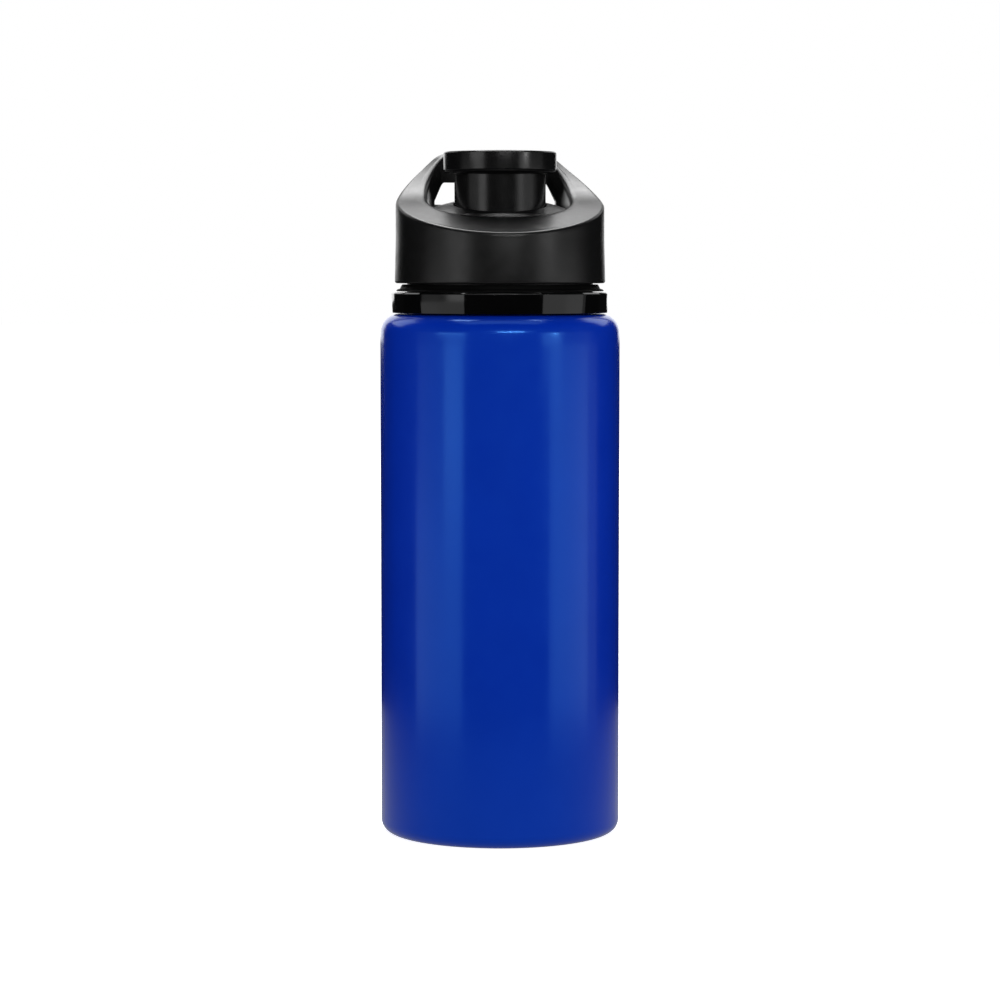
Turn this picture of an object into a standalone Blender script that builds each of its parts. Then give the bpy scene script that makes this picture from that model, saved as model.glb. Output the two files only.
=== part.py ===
"""Aluminium sports bottle with a screw lid, a carry loop and a push-pull spout.

Metres, +Z up. The origin is on the bottle's axis, at the surface it stands on. The front,
where the lid slopes down, faces -Y, and the carry loop is at +Y. Every moving piece turns
or slides on the Z axis, which passes through every object's origin.
"""

import math

import bmesh
import bpy

# Can
BODY_RADIUS = 0.0365
WALL = 0.0009
SHOULDER_Z = 0.159
SHOULDER_FILLET = 0.0057
SHOULDER_SWEEP = 0.06
SHOULDER_TILT = 4
BASE_CORNER = 0.004
BASE_HOLLOW = 0.0045
RING_INNER_RADIUS = 0.0312
BASE_THICKNESS = 0.0012
NECK_RADIUS = 0.025
NECK_FILLET = 0.0018
LIP_RADIUS = 0.0266
LIP_Z = 0.179
LIP_THICKNESS = 0.0015

# Running gap between separate pieces
GAP = 0.0003

# Screw thread, right-handed, shared by the neck and the inner cap
PITCH = 0.0036
NECK_ROOT_RADIUS = 0.0269
NECK_CREST_RADIUS = 0.0281
CAP_ROOT_RADIUS = 0.02845
CAP_CREST_RADIUS = 0.02735
RIDGE_ROOT_WIDTH = 0.0015
RIDGE_CREST_WIDTH = 0.0008
RIDGE_SUNK = 0.0004
NECK_THREAD_Z = 0.1706
NECK_THREAD_TURNS = 1.4
CAP_THREAD_TURNS = 1.35

# Neck insert
INSERT_BORE = NECK_RADIUS + GAP
INSERT_FOOT_RADIUS = 0.0283
INSERT_FOOT_TOP_Z = 0.1686
INSERT_CHAMFER = 0.0005
INSERT_RELIEF_WIDTH = 0.0019
INSERT_RELIEF_HEIGHT = 0.0023
SEAL_GROOVE_RADIUS = 0.0262
SEAL_GROOVE_Z = 0.173
SEAL_GROOVE_HEIGHT = 0.0016
SEAL_SLACK = 0.0002
SEAL_PRESS = 0.00005

# Collar ring and dust seal
COLLAR_FACETS = 26
COLLAR_TURN = math.radians(4.4)
COLLAR_LOW_RADIUS = 0.0328
COLLAR_TOP_RADIUS = 0.0332
COLLAR_TOP_Z = 0.16555
COLLAR_BORE = 0.0289
COLLAR_CHAMFER = 0.0004
DUST_LOW_RADIUS = 0.0317
DUST_TOP_RADIUS = 0.0299
DUST_BORE = 0.0287
DUST_TOP_Z = 0.1679

# Hood
SKIRT_Z = 0.1683
SKIRT_LOW_RADIUS = 0.03205
SKIRT_RADIUS = 0.03175
SKIRT_BORE = 0.03025
SKIRT_EDGE = 0.0007
SKIRT_TAPER_TOP_Z = 0.1815
RAMP_Z = 0.1926
RAMP_TILT = math.radians(13)
FRONT_TILT = math.radians(16.9)
FRONT_BLEND = 0.008
SWEEP_RADIUS = 0.05
BRIDGE_Z = 0.2085
BRIDGE_BLEND = 0.002
BAND_CROWN = 0.0011
RECESS_CENTRE_Y = 0.0071
RECESS_HALF_WIDTH = 0.0214
RECESS_HALF_DEPTH = 0.0223
RECESS_POWER = 2.6
RECESS_LIP = 0.0027
RECESS_LIP_LEAST_DROP = 0.0002
DECK_Z = 0.1947
DECK_CENTRE_Y = 0.0098
DECK_RADIUS = 0.062
DECK_THICKNESS = 0.0018
HOLLOW_FLOOR_Z = 0.183
EDGE_ROUND = 0.001
FLOOR_ROUND = 0.00017
WELL_RADIUS = 0.01425

# Slot through the hood's rear wall, under the carry loop
SLOT_LOW_Z = 0.1925
SLOT_TOP_Z = 0.1994
SLOT_TOP_HALF_WIDTH = 0.0162
SLOT_SIDE_SLOPE = 2.2
SLOT_CORNER = 0.0015
SLOT_END = 0.0189
SLOT_OVERCUT_IN = 0.0008
SLOT_OVERCUT_OUT = 0.006

# Inner cap
CAP_RADIUS = 0.02995
CAP_LOW_Z = 0.1696
CAP_TOP_Z = 0.1825
CAP_PLATE = 0.0019
CAP_HOLE_RADIUS = 0.0119
CAP_EDGE = 0.0005

# Lid gasket
GASKET_BORE = 0.0244
GASKET_RADIUS = 0.0281
GASKET_Z = LIP_Z + GAP
GASKET_THICKNESS = 0.001

# Spout tube
TUBE_RADIUS = 0.0116
TUBE_BORE = 0.0098
TUBE_TOP_Z = 0.201
TUBE_CHAMFER = 0.0004
FLANGE_RADIUS = 0.015
FLANGE_LOW_Z = 0.1783
FLANGE_TOP_Z = 0.1803
BEAD_RADIUS = 0.01195
BEAD_Z = 0.1916
BEAD_HEIGHT = 0.0012
RING_GROOVE_RADIUS = 0.0106
RING_GROOVE_Z = 0.1965
RING_GROOVE_HEIGHT = 0.0016
FACE_GROOVE_INNER = 0.0126
FACE_GROOVE_OUTER = 0.0142
FACE_GROOVE_DEPTH = 0.001
FACE_SEAL_RISE = 0.0001
RING_SLACK = 0.00025
RING_PRESS = 0.00015

# Spout core
CORE_RING_RADIUS = 0.0095
CORE_RING_BORE = 0.0083
CORE_LOW_Z = 0.196
CORE_TOP_Z = 0.2005
POST_RADIUS = 0.0026
PLUG_RADIUS = 0.0042
PLUG_LOW_Z = 0.203
PLUG_TOP_Z = 0.2067
PLUG_CHAMFER = 0.0007
PLUG_DOME = 0.0002
ARM_COUNT = 3
ARM_THICKNESS = 0.0014

# Sleeve that is pulled up to drink
SLEEVE_RADIUS = 0.0139
SLEEVE_BORE = 0.0122
SLEEVE_LOW_Z = 0.1832
SLEEVE_LIP_BORE = 0.01185
SLEEVE_LIP_HEIGHT = 0.0015
DISC_RADIUS = 0.0172
DISC_ROOT_Z = 0.2012
DISC_LOW_Z = 0.2024
DISC_TOP_Z = 0.2081
DISC_DOME = 0.0004
DISC_EDGE = 0.0004
CHAMBER_TOP_Z = 0.2034
SEAT_RADIUS = 0.0076
SEAT_TOP_Z = 0.2064
DRINK_RADIUS = 0.0048
DRINK_CHAMFER = 0.0006
INSERT_SEAT_BORE = 0.0045
INSERT_SEAT_RADIUS = 0.0073
INSERT_SEAT_CHAMFER = 0.0004

# Vent valve, in the inner cap's plate behind the spout
VENT_Y = 0.0196
VENT_HOLE_RADIUS = 0.0016
VENT_STEM_RADIUS = 0.0013
VENT_DISC_RADIUS = 0.0038
VENT_DISC_THICKNESS = 0.0009
VENT_DISC_EDGE = 0.0002
VENT_HEAD_RADIUS = 0.0023
VENT_HEAD_HEIGHT = 0.0026

# Facets round each turned piece
BODY_STEPS = 48
HOOD_STEPS = 48
PIECE_STEPS = 36
SMALL_STEPS = 18
SEAL_SIDES = 6
RIDGE_STEPS_PER_TURN = 30


def clear_scene():
    for obj in list(bpy.data.objects):
        bpy.data.objects.remove(obj, do_unlink=True)


def finish(name, color, roughness, metallic=0.0):
    material = bpy.data.materials.new(name)
    material.use_nodes = True
    shader = material.node_tree.nodes["Principled BSDF"]
    shader.inputs["Base Color"].default_value = (*color, 1.0)
    shader.inputs["Roughness"].default_value = roughness
    shader.inputs["Metallic"].default_value = metallic
    return material


def arc(centre_r, centre_z, radius, start, end, steps):
    """Points along an arc in the (r, z) plane, from start to end degrees, both included."""
    points = []
    for i in range(steps + 1):
        angle = math.radians(start + (end - start) * i / steps)
        points.append((centre_r + radius * math.cos(angle), centre_z + radius * math.sin(angle)))
    return points


def place(name, bm, material, smooth_below=40):
    """Turn a bmesh into an object, with edges sharper than smooth_below degrees left sharp."""
    bmesh.ops.remove_doubles(bm, verts=bm.verts, dist=1e-6)
    bmesh.ops.recalc_face_normals(bm, faces=bm.faces)
    mesh = bpy.data.meshes.new(name)
    bm.to_mesh(mesh)
    bm.free()
    mesh.shade_smooth()
    mesh.set_sharp_from_angle(angle=math.radians(smooth_below))
    mesh.materials.append(material)
    obj = bpy.data.objects.new(name, mesh)
    bpy.context.collection.objects.link(obj)
    return obj


def turned(name, profile, steps, material, closed=True, smooth_below=40, start=0.0):
    """Revolve (r, z) points about Z. An open profile has both of its ends on the axis."""
    bm = bmesh.new()
    x, y = math.sin(start), -math.cos(start)
    verts = [bm.verts.new((r * x, r * y, z)) for r, z in profile]
    edges = [bm.edges.new(pair) for pair in zip(verts, verts[1:])]
    if closed:
        edges.append(bm.edges.new((verts[-1], verts[0])))
    bmesh.ops.spin(
        bm,
        geom=verts + edges,
        cent=(0, 0, 0),
        axis=(0, 0, 1),
        angle=2 * math.pi,
        steps=steps,
        use_merge=True,
    )
    return place(name, bm, material, smooth_below)


def loop_mesh(sections, cyclic):
    """Join equal rings of points into a tube of quads, capped at both ends unless cyclic."""
    bm = bmesh.new()
    rings = [[bm.verts.new(point) for point in section] for section in sections]
    following = rings[1:] + rings[:1] if cyclic else rings[1:]
    for ring, after in zip(rings, following):
        for i, vert in enumerate(ring):
            j = (i + 1) % len(ring)
            bm.faces.new((vert, ring[j], after[j], after[i]))
    if not cyclic:
        bm.faces.new(rings[0])
        bm.faces.new(rings[-1])
    return bm


def helper(obj):
    """Keep an object that only shapes another one out of the model."""
    obj.hide_render = True
    obj.display_type = "WIRE"
    return obj


def combine(obj, other, operation):
    boolean = obj.modifiers.new(other.name, "BOOLEAN")
    boolean.operation = operation
    boolean.solver = "EXACT"
    boolean.object = helper(other)


def thread_ridge(name, root_radius, crest_radius, start_z, start_angle, turns, material):
    """A trapezoid ridge on a right-handed helix. Its crest rises out of the wall at both ends."""
    outwards = 1 if crest_radius > root_radius else -1
    sunk_radius = root_radius - outwards * RIDGE_SUNK
    hidden_radius = root_radius - outwards * RIDGE_SUNK / 4
    count = round(turns * RIDGE_STEPS_PER_TURN)
    fade = 4
    sections = []
    for i in range(count + 1):
        angle = start_angle + 2 * math.pi * i / RIDGE_STEPS_PER_TURN
        z = start_z + PITCH * i / RIDGE_STEPS_PER_TURN
        share = min(1.0, i / fade, (count - i) / fade)
        crest = hidden_radius + (crest_radius - hidden_radius) * share
        corners = (
            (sunk_radius, z - RIDGE_ROOT_WIDTH / 2),
            (crest, z - RIDGE_CREST_WIDTH / 2),
            (crest, z + RIDGE_CREST_WIDTH / 2),
            (sunk_radius, z + RIDGE_ROOT_WIDTH / 2),
        )
        sections.append([(r * math.sin(angle), -r * math.cos(angle), h) for r, h in corners])
    return place(name, loop_mesh(sections, cyclic=False), material)


# ---- Bottle ---------------------------------------------------------------------------


def base_dome(raised):
    """The concave base from the axis out to the standing ring, on one sphere."""
    sphere = (RING_INNER_RADIUS**2 + BASE_HOLLOW**2) / (2 * BASE_HOLLOW)
    edge = math.degrees(math.asin(RING_INNER_RADIUS / sphere))
    return arc(0, BASE_HOLLOW - sphere + raised, sphere, 90, 90 - edge, 2)


def bottle_shell(material):
    ring_outer = BODY_RADIUS - BASE_CORNER
    tilt = math.radians(SHOULDER_TILT)
    sweep_r = BODY_RADIUS - SHOULDER_SWEEP
    fillet_z = SHOULDER_Z - SHOULDER_FILLET
    flat_outer = sweep_r + (SHOULDER_SWEEP - SHOULDER_FILLET) * math.cos(tilt)
    sweep_z = fillet_z - (SHOULDER_SWEEP - SHOULDER_FILLET) * math.sin(tilt)
    fillet_r = NECK_RADIUS + NECK_FILLET
    lip_low = LIP_Z - LIP_THICKNESS
    lip_round = LIP_THICKNESS / 2
    outside = base_dome(0)
    outside += arc(ring_outer, BASE_CORNER, BASE_CORNER, -90, 0, 3)
    outside += [(BODY_RADIUS, sweep_z)]
    outside += arc(flat_outer, fillet_z, SHOULDER_FILLET, SHOULDER_TILT, 90, 4)
    outside += arc(fillet_r, SHOULDER_Z + NECK_FILLET, NECK_FILLET, -90, -180, 2)
    outside += [(NECK_RADIUS, lip_low)]
    outside += arc(LIP_RADIUS - lip_round, LIP_Z - lip_round, lip_round, -90, 90, 3)
    inner_fillet = NECK_FILLET + WALL
    inner_corner = BASE_CORNER - WALL
    inside = [(NECK_RADIUS + LIP_THICKNESS / 4, LIP_Z), (NECK_RADIUS - WALL, LIP_Z - WALL)]
    inside += arc(fillet_r, SHOULDER_Z + NECK_FILLET, inner_fillet, 180, 270, 2)
    inside += arc(flat_outer, fillet_z, SHOULDER_FILLET - WALL, 90, SHOULDER_TILT, 3)
    inside += [(BODY_RADIUS - WALL, sweep_z)]
    inside += arc(ring_outer, BASE_THICKNESS + inner_corner, inner_corner, 0, -90, 2)
    inside += reversed(base_dome(BASE_THICKNESS))
    return turned("bottle_shell", outside + inside, BODY_STEPS, material, closed=False)


def neck_insert(material):
    foot_z = SHOULDER_Z + GAP
    top_z = LIP_Z - LIP_THICKNESS - GAP
    groove_top = SEAL_GROOVE_Z + SEAL_GROOVE_HEIGHT
    profile = [
        (INSERT_FOOT_RADIUS, foot_z),
        (INSERT_FOOT_RADIUS, INSERT_FOOT_TOP_Z),
        (NECK_ROOT_RADIUS, INSERT_FOOT_TOP_Z + INSERT_CHAMFER),
        (NECK_ROOT_RADIUS, top_z - INSERT_CHAMFER),
        (NECK_ROOT_RADIUS - INSERT_CHAMFER, top_z),
        (INSERT_BORE, top_z),
        (INSERT_BORE, groove_top),
        (SEAL_GROOVE_RADIUS, groove_top),
        (SEAL_GROOVE_RADIUS, SEAL_GROOVE_Z),
        (INSERT_BORE, SEAL_GROOVE_Z),
        (INSERT_BORE, foot_z + INSERT_RELIEF_HEIGHT),
        (INSERT_BORE + INSERT_RELIEF_WIDTH, foot_z),
    ]
    insert = turned("neck_insert", profile, PIECE_STEPS, material)
    ridge = thread_ridge(
        "neck_ridge",
        NECK_ROOT_RADIUS,
        NECK_CREST_RADIUS,
        NECK_THREAD_Z,
        0.0,
        NECK_THREAD_TURNS,
        material,
    )
    combine(insert, ridge, "UNION")
    return insert


def neck_seal(material):
    low = SEAL_GROOVE_Z + SEAL_SLACK
    high = SEAL_GROOVE_Z + SEAL_GROOVE_HEIGHT - SEAL_SLACK
    inner = INSERT_BORE - SEAL_PRESS
    outer = SEAL_GROOVE_RADIUS - GAP
    profile = [(outer, low), (outer, high), (inner, high), (inner, low)]
    return turned("neck_seal", profile, PIECE_STEPS, material)


def collar_ring(material):
    low = SHOULDER_Z + GAP
    profile = [
        (COLLAR_LOW_RADIUS, low),
        (COLLAR_TOP_RADIUS, COLLAR_TOP_Z - COLLAR_CHAMFER),
        (COLLAR_TOP_RADIUS - COLLAR_CHAMFER, COLLAR_TOP_Z),
        (COLLAR_BORE, COLLAR_TOP_Z),
        (COLLAR_BORE, low),
    ]
    return turned(
        "collar_ring", profile, COLLAR_FACETS, material, smooth_below=5, start=COLLAR_TURN
    )


def dust_seal(material):
    low = COLLAR_TOP_Z + GAP
    profile = [
        (DUST_LOW_RADIUS, low),
        (DUST_TOP_RADIUS, DUST_TOP_Z),
        (DUST_BORE, DUST_TOP_Z),
        (DUST_BORE, low),
    ]
    return turned("dust_seal", profile, PIECE_STEPS, material)


# ---- Lid ------------------------------------------------------------------------------


def smooth_min(a, b, blend):
    share = min(1.0, max(0.0, 0.5 + (b - a) / (2 * blend)))
    return b + (a - b) * share - blend * share * (1 - share)


def hood_height(x, y):
    """Height of the hood's top: a slope that steepens in front, and a sweep up to the loop."""
    if y <= 0:
        steeper = math.tan(FRONT_TILT) - math.tan(RAMP_TILT)
        bent = min(-y, FRONT_BLEND)
        height = RAMP_Z + y * math.tan(RAMP_TILT) + steeper * (y + bent - bent**2 / (2 * FRONT_BLEND))
    else:
        along = y + SWEEP_RADIUS * math.sin(RAMP_TILT)
        fall = math.sqrt(SWEEP_RADIUS**2 - along**2)
        sweep = RAMP_Z + SWEEP_RADIUS * math.cos(RAMP_TILT) - fall
        height = smooth_min(sweep, BRIDGE_Z, BRIDGE_BLEND)
    return height + BAND_CROWN * (1 - (x * x + y * y) / SKIRT_RADIUS**2)


def deck_height(x, y):
    """Height of the recess's floor, a shallow dome centred a little behind the axis."""
    away = min(math.hypot(x, y - DECK_CENTRE_Y), 0.7 * DECK_RADIUS)
    return DECK_Z - DECK_RADIUS + math.sqrt(DECK_RADIUS**2 - away**2)


def recess_radius(x, y):
    """Distance from the axis to the recess's outline, a superellipse, in direction (x, y)."""
    low, high = 0.0, SKIRT_RADIUS
    for _ in range(40):
        middle = (low + high) / 2
        across = abs(middle * x / RECESS_HALF_WIDTH) ** RECESS_POWER
        along = abs((middle * y - RECESS_CENTRE_Y) / RECESS_HALF_DEPTH) ** RECESS_POWER
        if across + along < 1:
            low = middle
        else:
            high = middle
    return low


def hood_profile(x, y):
    """One radial section of the hood, in direction (x, y), as closed (r, z) points."""

    def top(r):
        return hood_height(r * x, r * y)

    def deck(r):
        return deck_height(r * x, r * y)

    def under(r):
        lowest = min(top(r), deck(r)) - DECK_THICKNESS
        return max(lowest, HOLLOW_FLOOR_Z)

    inner = recess_radius(x, y)
    lip = min(RECESS_LIP, 0.45 * (SKIRT_RADIUS - inner))
    lip_start = inner + lip
    drop = max(top(lip_start) - deck(inner), RECESS_LIP_LEAST_DROP)
    lip_drop = min(lip, 0.8 * drop)
    edge = min(EDGE_ROUND, 0.4 * (SKIRT_RADIUS - lip_start))
    band = SKIRT_RADIUS - edge
    profile = arc(
        SKIRT_LOW_RADIUS - SKIRT_EDGE, SKIRT_Z + SKIRT_EDGE, SKIRT_EDGE, -90, 0, 2
    )
    profile.append((SKIRT_RADIUS, SKIRT_TAPER_TOP_Z))
    profile += arc(band, top(band) - edge, edge, 0, 90, 2)
    profile.append(((band + lip_start) / 2, top((band + lip_start) / 2)))
    for i in range(4):
        angle = math.pi / 2 * i / 3
        r = lip_start - lip * math.sin(angle)
        profile.append((r, top(lip_start) - lip_drop * (1 - math.cos(angle))))
    floor_start = inner - FLOOR_ROUND
    floor_end = WELL_RADIUS + FLOOR_ROUND
    profile.append((floor_start, deck(floor_start)))
    profile.append(((floor_start + floor_end) / 2, deck((floor_start + floor_end) / 2)))
    profile.append((floor_end, deck(floor_end)))
    profile.append((WELL_RADIUS, deck(WELL_RADIUS) - FLOOR_ROUND))
    profile.append((WELL_RADIUS, under(WELL_RADIUS)))
    for share in (0.35, 0.7, 1.0):
        r = WELL_RADIUS + (SKIRT_BORE - WELL_RADIUS) * share
        profile.append((r, under(r)))
    profile.append((SKIRT_BORE, SKIRT_Z))
    return profile


def slot_cutter(material):
    """The slot's space: columns across the rear wall, each from the slot's floor to its roof."""
    columns = 24
    sections = []
    for i in range(columns + 1):
        x = SLOT_END * (2 * i / columns - 1)
        side = SLOT_TOP_Z - (abs(x) - SLOT_TOP_HALF_WIDTH) * SLOT_SIDE_SLOPE
        roof = smooth_min(side, SLOT_TOP_Z, SLOT_CORNER)
        reach = (1 - (abs(x) / RECESS_HALF_WIDTH) ** RECESS_POWER) ** (1 / RECESS_POWER)
        inside = RECESS_CENTRE_Y + RECESS_HALF_DEPTH * reach - SLOT_OVERCUT_IN
        outside = SKIRT_RADIUS + SLOT_OVERCUT_OUT
        sections.append(
            [
                (x, inside, SLOT_LOW_Z),
                (x, outside, SLOT_LOW_Z),
                (x, outside, roof),
                (x, inside, roof),
            ]
        )
    return place("slot_cutter", loop_mesh(sections, cyclic=False), material)


def lid_shell(material):
    sections = []
    for i in range(HOOD_STEPS):
        angle = 2 * math.pi * i / HOOD_STEPS
        x, y = math.sin(angle), -math.cos(angle)
        sections.append([(r * x, r * y, z) for r, z in hood_profile(x, y)])
    shell = place("lid_shell", loop_mesh(sections, cyclic=True), material, 35)
    combine(shell, slot_cutter(material), "DIFFERENCE")
    return shell


def lid_inner_cap(material):
    under_plate = CAP_TOP_Z - CAP_PLATE
    profile = [
        (CAP_RADIUS, CAP_LOW_Z),
        (CAP_RADIUS, CAP_TOP_Z - CAP_EDGE),
        (CAP_RADIUS - CAP_EDGE, CAP_TOP_Z),
        (CAP_HOLE_RADIUS, CAP_TOP_Z),
        (CAP_HOLE_RADIUS, under_plate),
        (CAP_ROOT_RADIUS, under_plate),
        (CAP_ROOT_RADIUS, CAP_LOW_Z + CAP_EDGE),
        (CAP_ROOT_RADIUS + CAP_EDGE, CAP_LOW_Z),
    ]
    cap = turned("lid_inner_cap", profile, PIECE_STEPS, material)
    ridge = thread_ridge(
        "cap_ridge",
        CAP_ROOT_RADIUS,
        CAP_CREST_RADIUS,
        NECK_THREAD_Z + PITCH / 4,
        -math.pi / 2,
        CAP_THREAD_TURNS,
        material,
    )
    combine(cap, ridge, "UNION")
    hole = turned(
        "vent_hole",
        [(0, under_plate - GAP), (VENT_HOLE_RADIUS, under_plate - GAP)]
        + [(VENT_HOLE_RADIUS, CAP_TOP_Z + GAP), (0, CAP_TOP_Z + GAP)],
        SMALL_STEPS,
        material,
        closed=False,
    )
    hole.location.y = VENT_Y
    combine(cap, hole, "DIFFERENCE")
    return cap


def lid_gasket(material):
    high = GASKET_Z + GASKET_THICKNESS
    profile = [(GASKET_RADIUS, GASKET_Z), (GASKET_RADIUS, high), (GASKET_BORE, high)]
    profile.append((GASKET_BORE, GASKET_Z))
    return turned("lid_gasket", profile, PIECE_STEPS, material)


def spout_base(material):
    groove_low = FLANGE_TOP_Z - FACE_GROOVE_DEPTH
    ring_top = RING_GROOVE_Z + RING_GROOVE_HEIGHT
    bead_top = BEAD_Z + BEAD_HEIGHT
    bead_step = BEAD_RADIUS - TUBE_RADIUS
    profile = [
        (FLANGE_RADIUS, FLANGE_LOW_Z),
        (FLANGE_RADIUS, FLANGE_TOP_Z),
        (FACE_GROOVE_OUTER, FLANGE_TOP_Z),
        (FACE_GROOVE_OUTER, groove_low),
        (FACE_GROOVE_INNER, groove_low),
        (FACE_GROOVE_INNER, FLANGE_TOP_Z),
        (TUBE_RADIUS, FLANGE_TOP_Z),
        (TUBE_RADIUS, BEAD_Z),
        (BEAD_RADIUS, BEAD_Z),
        (BEAD_RADIUS, bead_top - bead_step),
        (TUBE_RADIUS, bead_top),
        (TUBE_RADIUS, RING_GROOVE_Z),
        (RING_GROOVE_RADIUS, RING_GROOVE_Z),
        (RING_GROOVE_RADIUS, ring_top),
        (TUBE_RADIUS, ring_top),
        (TUBE_RADIUS, TUBE_TOP_Z - TUBE_CHAMFER),
        (TUBE_RADIUS - TUBE_CHAMFER, TUBE_TOP_Z),
        (TUBE_BORE, TUBE_TOP_Z),
        (TUBE_BORE, FLANGE_LOW_Z),
    ]
    return turned("spout_base", profile, PIECE_STEPS, material)


def seal_ring(name, inner, outer, low, high, material):
    """A moulded ring of round section, squeezed a little flat."""
    profile = []
    for i in range(SEAL_SIDES):
        angle = 2 * math.pi * (i + 0.5) / SEAL_SIDES
        r = (inner + outer) / 2 + (outer - inner) / 2 * math.cos(angle)
        z = (low + high) / 2 + (high - low) / 2 * math.sin(angle)
        profile.append((r, z))
    return turned(name, profile, PIECE_STEPS, material)


def spout_core(material):
    """A ring with three arms that hold the post, whose head plugs the drinking hole."""
    ring_profile = [
        (CORE_RING_RADIUS, CORE_LOW_Z),
        (CORE_RING_RADIUS, CORE_TOP_Z),
        (CORE_RING_BORE, CORE_TOP_Z),
        (CORE_RING_BORE, CORE_LOW_Z),
    ]
    core = turned("spout_core", ring_profile, PIECE_STEPS, material)
    post_profile = [
        (0, CORE_LOW_Z + GAP),
        (POST_RADIUS, CORE_LOW_Z + GAP),
        (POST_RADIUS, PLUG_LOW_Z),
        (PLUG_RADIUS, PLUG_LOW_Z + PLUG_CHAMFER),
        (PLUG_RADIUS, PLUG_TOP_Z - PLUG_CHAMFER),
        (PLUG_RADIUS - PLUG_CHAMFER, PLUG_TOP_Z),
        (0, PLUG_TOP_Z + PLUG_DOME),
    ]
    post = turned("core_post", post_profile, SMALL_STEPS, material, closed=False)
    combine(core, post, "UNION")
    reach = (CORE_RING_BORE + CORE_RING_RADIUS) / 2
    half = ARM_THICKNESS / 2
    for i in range(ARM_COUNT):
        low, high = CORE_LOW_Z + 2 * GAP, CORE_TOP_Z - 2 * GAP
        sections = [
            [(x, -half, low), (x, half, low), (x, half, high), (x, -half, high)]
            for x in (POST_RADIUS / 2, reach)
        ]
        arm = place(f"core_arm_{i + 1}", loop_mesh(sections, cyclic=False), material)
        arm.rotation_euler.z = math.radians(90) + 2 * math.pi * i / ARM_COUNT
        combine(core, arm, "UNION")
    return core


def vent_valve(material):
    """An umbrella valve: a disc under the plate, a stem through it and a head that holds it."""
    disc_top = CAP_TOP_Z - CAP_PLATE - GAP
    head_low = CAP_TOP_Z + GAP
    head_top = CAP_TOP_Z + VENT_HEAD_HEIGHT
    profile = [
        (0, disc_top - VENT_DISC_THICKNESS),
        (VENT_DISC_RADIUS - VENT_DISC_THICKNESS, disc_top - VENT_DISC_THICKNESS + VENT_DISC_EDGE),
        (VENT_DISC_RADIUS, disc_top - VENT_DISC_EDGE),
        (VENT_DISC_RADIUS - VENT_DISC_EDGE, disc_top),
        (VENT_STEM_RADIUS, disc_top),
        (VENT_STEM_RADIUS, head_low),
        (VENT_HEAD_RADIUS, head_low),
        (VENT_STEM_RADIUS, head_top - VENT_HEAD_HEIGHT / 6),
        (0, head_top),
    ]
    valve = turned("vent_valve", profile, SMALL_STEPS, material, closed=False)
    valve.location.y = VENT_Y
    return valve


# ---- Sleeve ---------------------------------------------------------------------------


def spout_sleeve(material):
    lip_top = SLEEVE_LOW_Z + SLEEVE_LIP_HEIGHT
    outside = [(SLEEVE_RADIUS - DISC_EDGE, SLEEVE_LOW_Z), (SLEEVE_RADIUS, SLEEVE_LOW_Z + DISC_EDGE)]
    for i in range(4):
        angle = math.pi / 2 * i / 3
        across = (DISC_RADIUS - DISC_EDGE - SLEEVE_RADIUS) * math.sin(angle)
        rise = (DISC_LOW_Z - DISC_ROOT_Z) * (1 - math.cos(angle))
        outside.append((SLEEVE_RADIUS + across, DISC_ROOT_Z + rise))
    outside += [(DISC_RADIUS, DISC_LOW_Z + DISC_EDGE)]
    outside += [(DISC_RADIUS, DISC_TOP_Z - DISC_EDGE), (DISC_RADIUS - DISC_EDGE, DISC_TOP_Z)]
    outside += [(DRINK_RADIUS + DRINK_CHAMFER, DISC_TOP_Z + DISC_DOME)]
    outside += [(DRINK_RADIUS, DISC_TOP_Z + DISC_DOME - DRINK_CHAMFER)]
    inside = [(DRINK_RADIUS, SEAT_TOP_Z), (SEAT_RADIUS, SEAT_TOP_Z), (SEAT_RADIUS, CHAMBER_TOP_Z)]
    inside += [(SLEEVE_BORE, CHAMBER_TOP_Z), (SLEEVE_BORE, lip_top + DISC_EDGE)]
    inside += [(SLEEVE_LIP_BORE, lip_top), (SLEEVE_LIP_BORE, SLEEVE_LOW_Z)]
    return turned("spout_sleeve", outside + inside, PIECE_STEPS, material)


def mouth_insert(material):
    low = CHAMBER_TOP_Z + GAP
    high = SEAT_TOP_Z - GAP
    profile = [
        (INSERT_SEAT_RADIUS, low),
        (INSERT_SEAT_RADIUS, high),
        (INSERT_SEAT_BORE, high),
        (INSERT_SEAT_BORE, low + INSERT_SEAT_CHAMFER),
        (INSERT_SEAT_BORE + INSERT_SEAT_CHAMFER, low),
    ]
    return turned("mouth_insert", profile, PIECE_STEPS, material)


# ---- Assembly -------------------------------------------------------------------------


def group(name, z, parent, pieces):
    """An empty on the axis that carries one set of pieces that move together."""
    empty = bpy.data.objects.new(name, None)
    empty.empty_display_size = 0.01
    bpy.context.collection.objects.link(empty)
    empty.location.z = z
    if parent:
        empty.parent = parent
        empty.location.z = z - parent.location.z
    for piece in pieces:
        piece.parent = empty
        piece.location.z = -z
    return empty


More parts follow.
